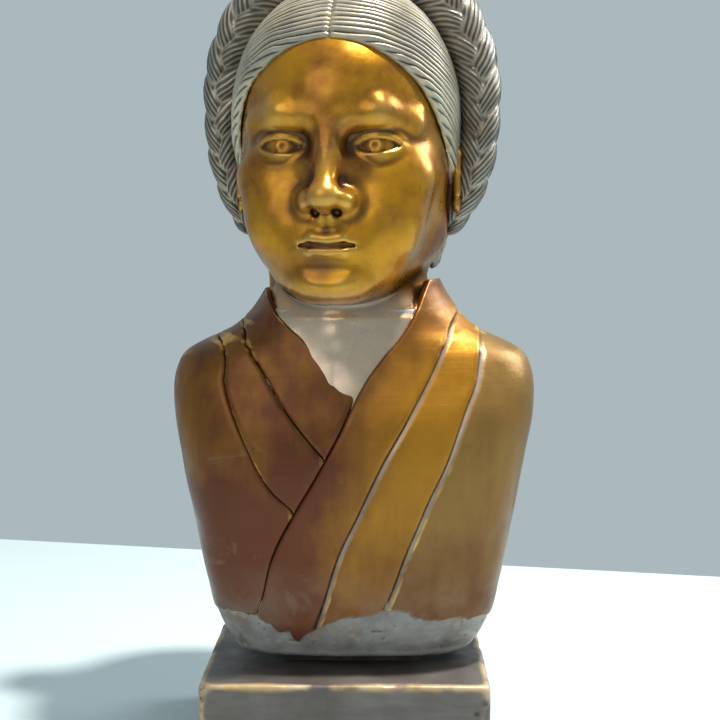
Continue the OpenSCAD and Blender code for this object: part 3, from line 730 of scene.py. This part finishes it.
def hair_sheet(name, node, az, rows, low, comb, mat):
    """Sheet of combed hair over the cap, from heights low up to the crown."""
    c0 = climb_of(low)
    v = np.linspace(0, 1, rows)[:, None]
    climb = c0[None] + (np.radians(88) - c0[None]) * v
    azimuth = np.broadcast_to(az[None], climb.shape)
    base = hair_cap(azimuth, climb)
    normal = grid_normals(base)
    from_edge = (climb - c0[None]) * HAIR_RISE
    flat = base.reshape(-1, 3)
    stray = 1.3 * noise(flat, 17, 41) + 0.35 * noise(flat, 6, 45)
    grooves = comb(azimuth, climb, base) + stray.reshape(climb.shape)
    depth = 1.35 + 0.4 * noise(flat, 11, 42).reshape(climb.shape)
    high = depth * ridge(grooves, STRAND) + 0.45 * ridge(grooves + 0.8, 3 * STRAND)
    high -= 1.9 * (1 - smoothstep(0, 5, from_edge))
    high += 0.5 * noise(flat, 22, 43).reshape(climb.shape) - 0.25
    high -= 1.4 * rounded(np.maximum(from_edge, 0), 1.5) / 1.5
    high -= 1.1 * bump(base[..., 0], 1.1) * (base[..., 1] < 0)
    outer = base + normal * high[..., None]
    inner = base - normal * HAIR_THICK
    verts, faces = skin_mesh(outer, inner)
    obj = new_object(name, to_head_place(verts), faces, mat)
    set_relief(obj, 6, 0.35)
    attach(obj, "root")
    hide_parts(node)


def combed_aside(azimuth, climb, base):
    a = np.abs(azimuth)
    fall = 1.05 * (0.08 * a + 0.45 * 60**-1.5 * a**2.5 / 2.5)
    return climb * HAIR_RISE + fall


def combed_up(azimuth, climb, base):
    return np.radians(azimuth) * 66 + 3 * np.sin(climb * 2 + azimuth / 17)


def wreath_path(t, side):
    """Centre and radius of a braid at t degrees, from 90 over the crown to below 0 beside the ear."""
    k = np.minimum(t, 0) / WREATH_DROP
    up = np.maximum(t, 0)
    r = np.where(t > 0, 9 + 5 * np.sin(np.radians(up)), 9 * (1 - 0.5 * k * k))
    sweep = 9 if side > 0 else 4
    x = np.where(t > 0, (63 + r) * np.cos(np.radians(up)), 72 - 13 * k * k - sweep * k**4)
    z = np.where(t > 0, HAIR_LEVEL + (73 + r) * np.sin(np.radians(up)), HAIR_LEVEL + 64 * t / WREATH_DROP)
    y = 10 + 4 * k * k
    return np.stack([x, y, z], -1), r


def build_braid(name, node, side, mat, steps=330, around=150):
    t = np.concatenate([np.linspace(89.5, 0, steps * 2 // 3), np.linspace(-0.4, -WREATH_DROP, steps // 3)])
    centre, r = wreath_path(t, side)
    ahead = np.gradient(centre, axis=0)
    ahead /= np.linalg.norm(ahead, axis=1, keepdims=True)
    out = np.stack([-ahead[:, 2], 0 * t, ahead[:, 0]], 1)
    out /= np.linalg.norm(out, axis=1, keepdims=True)
    run = np.concatenate([[0], np.cumsum(np.linalg.norm(np.diff(centre, axis=0), axis=1))])
    left = run[-1] - run
    end = np.sqrt(1 - (1 - np.clip(left / 9, 0, 1)) ** 2)
    start = 1 - 0.25 * (1 - smoothstep(0, 6, run))
    alpha = np.linspace(-np.pi, np.pi, around, endpoint=False)
    a, s = np.meshgrid(alpha, run, indexing="xy")
    q = np.where(np.abs(a) <= np.pi / 2, a, np.sign(a) * (np.pi - np.abs(a))) / (np.pi / 2)
    pitch, half_girth, lean = 19.0, 21.0, np.radians(48)
    lobe_long, lobe_wide = 16.5, 8.6
    best = np.full(a.shape, -1.0)
    fine = np.zeros(a.shape)
    for sigma, shift in ((1, 0.0), (-1, 0.5)):
        for k in range(-1, int(run[-1] / pitch) + 3):
            da = (q - 0.47 * sigma) * half_girth
            db = s - pitch * (k + shift)
            along = -sigma * da * np.cos(lean) + db * np.sin(lean)
            across = sigma * da * np.sin(lean) + db * np.cos(lean)
            lobe = 1 - (along / lobe_long) ** 2 - (across / lobe_wide) ** 2
            take = lobe > best
            best = np.where(take, lobe, best)
            fine = np.where(take, across, fine)
    lump = np.sqrt(np.clip(best, 0, 1))
    rr = r[:, None]
    flat = np.stack([a * 18, s, np.full_like(a, side * 40.0)], -1).reshape(-1, 3)
    wob = noise(flat, 9, 51).reshape(a.shape)
    high = 3.4 * (lump - 1) + 0.6 * ridge(fine + 0.8 * wob, 2.7) * smoothstep(0, 0.35, lump) + 0.3 * wob
    width = np.maximum(17 * (0.6 + 0.4 * rr / 14) + high + 1, 0.6) * (end * start)[:, None]
    fuller = 1.5 + np.where(np.sin(a) < 0, 4.5 * np.sin(a) ** 2, 0)
    thick = np.maximum(rr + high + fuller, 0.6) * (end * start)[:, None]
    grid = centre[:, None] + out[:, None] * (thick * np.sin(a))[..., None]
    grid = grid - np.array([0, 1.0, 0]) * (width * np.cos(a))[..., None]
    rows, cols = a.shape
    i = np.arange(rows * cols).reshape(rows, cols)
    j = np.roll(i, -1, axis=1)
    faces = np.stack([i[:-1].ravel(), j[:-1].ravel(), j[1:].ravel(), i[1:].ravel()], 1)
    verts = grid.reshape(-1, 3)
    caps = []
    for row, turn in ((0, True), (rows - 1, False)):
        verts = np.concatenate([verts, grid[row].mean(0)[None]])
        tip = len(verts) - 1
        ring = i[row]
        cap = np.stack([ring, np.roll(ring, -1), np.full(cols, tip), np.full(cols, tip)], 1)
        caps.append(cap[:, [1, 0, 2, 3]] if turn else cap)
    verts = verts * [side, 1, 1]
    tris = np.concatenate([faces[:, [0, 1, 2]], faces[:, [0, 2, 3]]] + [c[:, :3] for c in caps])
    if side < 0:
        tris = tris[:, ::-1]
    obj = new_object(name, to_head_place(verts), tris, mat)
    set_relief(obj, 6, 0.4)
    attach(obj, "root")
    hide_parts(node)


def build_hair(mat):
    az = np.concatenate([[0], np.linspace(0.35, 110, 150)])
    hair_sheet("hair_left_sheet", "hair_left", az, 240, hairline(az), combed_aside, mat)
    hair_sheet("hair_right_sheet", "hair_right", -az[::-1], 240, hairline(-az[::-1]), combed_aside, mat)
    az = np.linspace(109, 251, 300)
    low = np.full(len(az), NAPE_Z) + 1.5 * noise(np.stack([az, az * 0, az * 0], 1), 6, 44)
    hair_sheet("hair_back_sheet", "hair_back", az, 150, low, combed_up, mat)
    build_braid("braid_left_plait", "braid_left", 1, mat)
    build_braid("braid_right_plait", "braid_right", -1, mat)


# ---------------------------------------------------------------- plinth


def build_plinth(mat):
    low, high = PLINTH_LOW, PLINTH_HIGH
    middle, half, coat = (low + high) / 2, (high - low) / 2, 2.2
    chips = [((-1, -1, 1), (5, 4, 4.5)), ((1, -1, 1), (3, 3.5, 3)), ((-1, -1, -0.1), (2.5, 4, 6)),
             ((0.35, -1, 1), (7, 2.2, 2)), ((-0.4, -1, 1), (5, 1.8, 1.6)), ((1, 0.3, 1), (2, 8, 2)),
             ((0.96, -1, 0.55), (2.4, 1.6, 1.8)), ((0.9, -1, 0.3), (1.8, 1.4, 1.4)),
             ((0.99, -1, 0.2), (2, 1.8, 2.6)), ((-0.98, -1, 0.62), (1.8, 1.6, 2.4)),
             ((-0.99, -1, 0.35), (1.6, 1.5, 1.6))]

    def shape(x, y, z):
        px, py, pz = x - middle[0], y - middle[1], z - middle[2]
        r = 2.4  # of the edges
        qx, qy, qz = (np.abs(p) - h + r for p, h in zip((px, py, pz), half))
        d = np.sqrt(sum(np.maximum(q, 0) ** 2 for q in (qx, qy, qz)))
        d = d + np.minimum(np.maximum(np.maximum(qx, qy), qz), 0) - r
        p = np.stack([px, py, pz], -1)
        d = d + 0.45 + 0.35 * noise(p, 21, 61) + 0.12 * noise(p, 6, 62)
        for corner, size in chips:
            c = half * corner
            d = carve(d, ball(px, py, pz, c, size) + 0.6 * noise(p, 3, 63), 1.0)
        inside = np.maximum(np.maximum(np.abs(px) - half[0], np.abs(py) - half[1]),
                            pz - half[2]) + coat
        return np.maximum(d, -inside)

    verts, faces = sculpted_skin(shape, low - 1.5, high + 2, 1.1)
    verts = np.clip(verts, low, high)
    obj = new_object("plinth_coat", verts, faces, mat)
    set_relief(obj, 6, 0.4)
    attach(obj, "root")
    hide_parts("plinth_skin")


# ---------------------------------------------------------------- materials


class Nodes:
    """Small helper for a material's node tree."""

    def __init__(self, name):
        self.mat = bpy.data.materials.new(name)
        self.mat.use_nodes = True
        self.tree = self.mat.node_tree
        self.shader = self.tree.nodes["Principled BSDF"]
        self.place = self.new("ShaderNodeTexCoord").outputs["Object"]

    def new(self, kind, **values):
        node = self.tree.nodes.new(kind)
        for key, value in values.items():
            setattr(node, key, value)
        return node

    def join(self, source, target):
        self.tree.links.new(source, target)

    def noise(self, scale, detail=4, roughness=0.55, stretch=None, distortion=0):
        node = self.new("ShaderNodeTexNoise")
        node.inputs["Scale"].default_value = scale
        node.inputs["Detail"].default_value = detail
        node.inputs["Roughness"].default_value = roughness
        node.inputs["Distortion"].default_value = distortion
        source = self.place
        if stretch:
            mapping = self.new("ShaderNodeMapping")
            mapping.inputs["Scale"].default_value = stretch
            self.join(source, mapping.inputs["Vector"])
            source = mapping.outputs["Vector"]
        self.join(source, node.inputs["Vector"])
        return node.outputs["Fac"]

    def attribute(self, name):
        node = self.new("ShaderNodeAttribute")
        node.attribute_name = name
        return node.outputs["Fac"]

    def axis(self, axis):
        node = self.new("ShaderNodeSeparateXYZ")
        self.join(self.place, node.inputs["Vector"])
        return node.outputs[axis]

    def ramp(self, value, low, high, to_low=0.0, to_high=1.0):
        node = self.new("ShaderNodeMapRange")
        node.inputs["From Min"].default_value = low
        node.inputs["From Max"].default_value = high
        node.inputs["To Min"].default_value = to_low
        node.inputs["To Max"].default_value = to_high
        self.join(value, node.inputs["Value"])
        return node.outputs["Result"]

    def maths(self, operation, a, b):
        node = self.new("ShaderNodeMath", operation=operation)
        for socket, value in zip(node.inputs, (a, b)):
            if isinstance(value, (int, float)):
                socket.default_value = value
            else:
                self.join(value, socket)
        return node.outputs["Value"]

    def mix(self, share, a, b):
        node = self.new("ShaderNodeMix", data_type="RGBA")
        factor = node.inputs[0]
        if isinstance(share, (int, float)):
            factor.default_value = share
        else:
            self.join(share, factor)
        for socket, value in ((node.inputs[6], a), (node.inputs[7], b)):
            if isinstance(value, tuple):
                socket.default_value = (*value, 1)
            else:
                self.join(value, socket)
        return node.outputs[2]

    def bump(self, height, distance, strength=1.0, below=None):
        node = self.new("ShaderNodeBump")
        node.inputs["Distance"].default_value = distance
        node.inputs["Strength"].default_value = strength
        self.join(height, node.inputs["Height"])
        if below is not None:
            self.join(below, node.inputs["Normal"])
        return node.outputs["Normal"]

    def finish(self, color, roughness, metallic=0.0, coat=0.0, coat_roughness=0.2, normal=None):
        inputs = self.shader.inputs
        for name, value in (("Base Color", color), ("Roughness", roughness), ("Metallic", metallic)):
            if isinstance(value, tuple):
                inputs[name].default_value = (*value, 1)
            elif isinstance(value, (int, float)):
                inputs[name].default_value = value
            else:
                self.join(value, inputs[name])
        inputs["Coat Weight"].default_value = coat
        inputs["Coat Roughness"].default_value = coat_roughness
        if normal is not None:
            self.join(normal, inputs["Normal"])
        return self.mat


AMBER = (0.33, 0.145, 0.006)
OLIVE = (0.235, 0.125, 0.028)
BROWN = (0.105, 0.027, 0.008)
DARK = (0.035, 0.014, 0.008)
GOLD = (0.6, 0.34, 0.06)


def robe_material(name, bright, start, full):
    """Lacquer that goes from brown at start to bright at full, in metres along X, aslant; the brown side
    is the head's shadow painted on the chest.
    """
    n = Nodes(name)
    patch = n.noise(17, 5, 0.6)
    streak = n.noise(60, 4, 0.6, stretch=(1.8, 1.8, 0.14))
    across = n.noise(140, 3, 0.7, stretch=(0.12, 0.12, 1.8))
    # Painted shadow of the head: the chest is brown on the -X side of a line that leans with height, and
    # bright beyond it.
    slant = n.ramp(n.axis("Z"), 0.09, 0.29, 0.05, -0.05)
    side = n.ramp(n.maths("ADD", n.axis("X"), slant), start, full)
    height = n.ramp(n.axis("Z"), 0.08, 0.17, -0.65, 0.1)
    tone = n.maths("ADD", n.ramp(patch, 0.38, 0.64, -0.22, 0.22), side)
    tone = n.maths("ADD", tone, n.ramp(streak, 0.35, 0.7, -0.13, 0.13))
    tone = n.maths("ADD", tone, height)
    base = n.mix(n.ramp(tone, -0.1, 1.0), BROWN, bright)
    relief = n.attribute("relief")
    # Hollows get painted shade (DARK) in some patches and real pale grey dust in others.
    dust_and_painted_shade = n.mix(n.ramp(n.noise(30, 3), 0.42, 0.58), DARK, (0.3, 0.27, 0.24))
    base = n.mix(n.ramp(relief, 0.34, 0.05, 0, 0.9), base, dust_and_painted_shade)
    worn = n.maths("MULTIPLY", n.ramp(relief, 0.86, 1.0), n.ramp(n.noise(75, 4), 0.42, 0.62))
    base = n.mix(worn, base, GOLD)
    # Pale grey from the ledge attribute: a painted highlight in the troughs, and the layer's pale
    # thickness along the torn edge.
    ledge = n.maths("MULTIPLY", n.attribute("ledge"), n.ramp(n.noise(38, 5), 0.36, 0.56, 0.35, 0.95))
    base = n.mix(ledge, base, (0.34, 0.3, 0.26))
    rubbed = n.maths("MULTIPLY", n.ramp(n.noise(24, 5, 0.7, distortion=1), 0.62, 0.74), 0.4)
    base = n.mix(rubbed, base, (0.24, 0.17, 0.1))
    low = n.ramp(n.axis("Z"), 0.105, 0.072, 0, 0.7)
    base = n.mix(n.maths("MULTIPLY", low, n.ramp(patch, 0.35, 0.6)), base, (0.2, 0.15, 0.11))
    rough = n.ramp(n.noise(45, 5, 0.65), 0.3, 0.75, 0.3, 0.52)
    normal = n.bump(across, 0.00022, 0.6)
    normal = n.bump(streak, 0.0003, 0.4, normal)
    normal = n.bump(n.noise(420, 3, 0.6), 0.00012, 0.6, normal)
    return n.finish(base, rough, 0.68, 0.08, 0.25, normal)


def skin_material():
    n = Nodes("bronze_skin")
    patch = n.noise(26, 5, 0.55)
    fine = n.noise(130, 4, 0.6)
    tone = n.maths("ADD", n.ramp(patch, 0.35, 0.62), n.ramp(fine, 0.3, 0.7, -0.2, 0.2))
    base = n.mix(n.ramp(tone, -0.1, 1.0), (0.17, 0.054, 0.01), (0.46, 0.205, 0.006))
    relief = n.attribute("relief")
    # Painted shade: darker in the face's hollows and creases.
    base = n.mix(n.ramp(relief, 0.44, 0.12, 0, 0.9), base, (0.05, 0.02, 0.01))
    base = n.mix(n.ramp(relief, 0.6, 0.95, 0, 0.5), base, (0.6, 0.36, 0.08))
    # Painted reflection: the lower neck and the skin between the lapels turn pale beige.
    neck = n.ramp(n.axis("Z"), 0.25, 0.23, 0, 0.75)
    base = n.mix(neck, base, (0.56, 0.46, 0.37))
    rough = n.ramp(n.noise(60, 5, 0.65), 0.3, 0.75, 0.2, 0.4)
    normal = n.bump(n.noise(300, 3, 0.6), 0.0001, 0.6)
    return n.finish(base, rough, 0.75, 0.12, 0.15, normal)


def hair_material():
    n = Nodes("grey_hair")
    patch = n.noise(22, 5, 0.6)
    base = n.mix(n.ramp(patch, 0.35, 0.65), (0.19, 0.165, 0.125), (0.33, 0.305, 0.255))
    relief = n.attribute("relief")
    # Painted shade: near black in the grooves between strands.
    base = n.mix(n.ramp(relief, 0.5, 0.2, 0, 0.92), base, (0.022, 0.015, 0.009))
    # Painted highlight: pale gold on the tops of the hair's ridges.
    painted_ridge_highlight = n.maths("MULTIPLY", n.ramp(relief, 0.5, 0.8), n.ramp(n.noise(34, 3), 0.42, 0.6, 0.1, 0.7))
    base = n.mix(painted_ridge_highlight, base, (0.56, 0.47, 0.3))
    rough = n.ramp(n.noise(80, 5, 0.65), 0.3, 0.75, 0.3, 0.52)
    normal = n.bump(n.noise(350, 3, 0.6), 0.0001, 0.6)
    return n.finish(base, rough, 0.35, 0.25, 0.25, normal)


def paper_material():
    n = Nodes("bare_paper")
    patch = n.noise(45, 6, 0.65)
    base = n.mix(n.ramp(patch, 0.35, 0.65), (0.17, 0.155, 0.145), (0.31, 0.3, 0.29))
    stain = n.maths("MULTIPLY", n.ramp(n.noise(28, 4, 0.6, distortion=0.6), 0.5, 0.62), 0.6)
    base = n.mix(stain, base, (0.2, 0.13, 0.075))
    relief = n.attribute("relief")
    # Painted shade: darker in cracks and hollows.
    base = n.mix(n.ramp(relief, 0.4, 0.05, 0, 0.8), base, (0.05, 0.04, 0.034))
    base = n.mix(n.ramp(relief, 0.65, 1.0, 0, 0.5), base, (0.48, 0.46, 0.43))
    rough = n.ramp(n.noise(90, 4), 0.3, 0.7, 0.45, 0.7)
    normal = n.bump(n.noise(260, 5, 0.7), 0.0006, 0.7)
    return n.finish(base, rough, 0.1, 0.1, 0.3, normal)


def plinth_material():
    n = Nodes("plinth_lacquer")
    patch = n.noise(20, 5, 0.6)
    streak = n.noise(70, 4, 0.6, stretch=(0.2, 0.2, 2.0))
    tone = n.maths("ADD", n.ramp(patch, 0.36, 0.64, 0, 0.7), n.ramp(streak, 0.3, 0.7, -0.1, 0.4))
    base = n.mix(tone, (0.045, 0.032, 0.027), (0.125, 0.11, 0.1))
    relief = n.attribute("relief")
    worn = n.maths("MULTIPLY", n.ramp(relief, 0.58, 0.9), n.ramp(n.noise(26, 4), 0.46, 0.6))
    base = n.mix(n.maths("MULTIPLY", worn, 0.7), base, (0.4, 0.24, 0.06))
    rim = n.maths("MULTIPLY", n.ramp(relief, 0.66, 1.0), n.ramp(n.noise(48, 4), 0.4, 0.56))
    base = n.mix(n.maths("MULTIPLY", rim, 0.5), base, (0.5, 0.43, 0.32))
    # Painted shade: darker in chips, pits and hollows.
    base = n.mix(n.ramp(relief, 0.42, 0.1, 0, 0.8), base, (0.03, 0.02, 0.015))
    rough = n.ramp(n.noise(70, 5, 0.65), 0.3, 0.75, 0.36, 0.6)
    normal = n.bump(n.noise(200, 5, 0.6), 0.0003, 0.6)
    return n.finish(base, rough, 0.2, 0.08, 0.3, normal)


def wood_material(name, pale, dark):
    n = Nodes(name)
    wave = n.new("ShaderNodeTexWave", wave_type="BANDS", bands_direction="Y")
    wave.inputs["Scale"].default_value = 60
    wave.inputs["Distortion"].default_value = 7
    wave.inputs["Detail"].default_value = 3
    n.join(n.place, wave.inputs["Vector"])
    grain = n.noise(180, 4, 0.6, stretch=(0.15, 1, 1))
    share = n.maths("MULTIPLY", wave.outputs["Fac"], grain)
    base = n.mix(n.ramp(share, 0.1, 0.6), dark, pale)
    return n.finish(base, 0.6, 0.0, 0.0, 0.2, n.bump(grain, 0.0002, 0.6))


def steel_material():
    n = Nodes("zinc_steel")
    patch = n.noise(90, 5, 0.6)
    base = n.mix(n.ramp(patch, 0.35, 0.7), (0.45, 0.45, 0.43), (0.62, 0.62, 0.6))
    return n.finish(base, n.ramp(n.noise(200, 4), 0.3, 0.7, 0.28, 0.5), 0.95, 0.0, 0.2,
                    n.bump(n.noise(500, 3), 0.00005, 0.5))


def card_material():
    n = Nodes("card")
    fibre = n.noise(320, 5, 0.7, stretch=(1, 0.3, 1))
    base = n.mix(n.ramp(fibre, 0.3, 0.7), (0.26, 0.2, 0.14), (0.36, 0.29, 0.2))
    return n.finish(base, 0.85, 0.0, 0.0, 0.2, n.bump(fibre, 0.0002, 0.6))


def plain_material(name, color, roughness):
    n = Nodes(name)
    base = n.mix(n.ramp(n.noise(3, 2), 0.3, 0.7), color, tuple(c * 0.96 for c in color))
    return n.finish(base, roughness)


def dress_cad_pieces(skin):
    """Looks of the pieces that keep their CAD shape."""
    wood = wood_material("pine", (0.5, 0.34, 0.19), (0.33, 0.2, 0.1))
    dark = wood_material("dark_wood", (0.06, 0.04, 0.03), (0.02, 0.014, 0.01))
    steel, card = steel_material(), card_material()
    looks = {"base_card": card, "foot_spacer": dark, "head_back": skin}
    for node in ("plinth_screws", "armature_rod", "rod_nuts", "rod_washers", "crown_screw"):
        looks[node] = steel
    for node in ("plinth_top", "plinth_front", "plinth_back", "plinth_left", "plinth_right",
                 "plinth_bottom", "plinth_glue_blocks", "torso_base_board", "shoulder_batten",
                 "neck_post", "crown_disc"):
        looks[node] = wood
    for node, mat in looks.items():
        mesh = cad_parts[node].data
        mesh.materials.clear()
        mesh.materials.append(mat)


# ---------------------------------------------------------------- stage


def build_stage():
    """Pale table, its far edge a little aslant."""
    corners = [(-2500, -2500, 0), (2500, -2500, 0), (2500, -110, 0), (-2500, 964, 0)]
    floor = plain_material("floor", (0.48, 0.57, 0.59), 0.5)
    new_object("floor", corners, [(0, 1, 2, 3)], floor, False)


def area_light(name, place, target, size, power, color):
    data = bpy.data.lights.new(name, "AREA")
    data.shape = "DISK"
    data.energy, data.size, data.color = power, size, color
    light = bpy.data.objects.new(name, data)
    bpy.context.scene.collection.objects.link(light)
    light.location = place
    light.rotation_euler = (Vector(target) - light.location).to_track_quat("-Z", "Y").to_euler()


def build_light():
    area_light("key", (0.38, -0.18, 1.55), (0, 0, 0.25), 0.11, 46, (1, 0.96, 0.9))
    area_light("fill", (-0.5, -1.1, 0.75), (0, 0, 0.25), 0.9, 3, (1, 0.96, 0.9))
    area_light("rim", (0.75, 0.3, 0.75), (0, 0, 0.3), 0.5, 6, (0.9, 0.96, 1))
    world = bpy.data.worlds.new("world")
    bpy.context.scene.world = world
    world.use_nodes = True
    background = world.node_tree.nodes["Background"]
    background.inputs["Color"].default_value = (0.7, 0.83, 0.88, 1)
    background.inputs["Strength"].default_value = 0.58
    bpy.context.scene.view_settings.view_transform = "Standard"


def build_camera():
    data = bpy.data.cameras.new("camera")
    data.lens = 70
    data.sensor_width = 36
    camera = bpy.data.objects.new("camera", data)
    bpy.context.scene.collection.objects.link(camera)
    camera.location = (0.020, -0.7675, 0.2747)
    camera.rotation_euler = (np.radians(85.1), 0, np.radians(0.94))
    bpy.context.scene.camera = camera


skin_look = skin_material()
build_robe(robe_material("bronze_robe", AMBER, 0.006, 0.046),
           robe_material("bronze_robe_side", OLIVE, 0.006, 0.046))
build_core(paper_material())
build_head(skin_look)
build_ears(skin_look)
build_hair(hair_material())
build_plinth(plinth_material())
dress_cad_pieces(skin_look)
build_stage()
build_light()
build_camera()
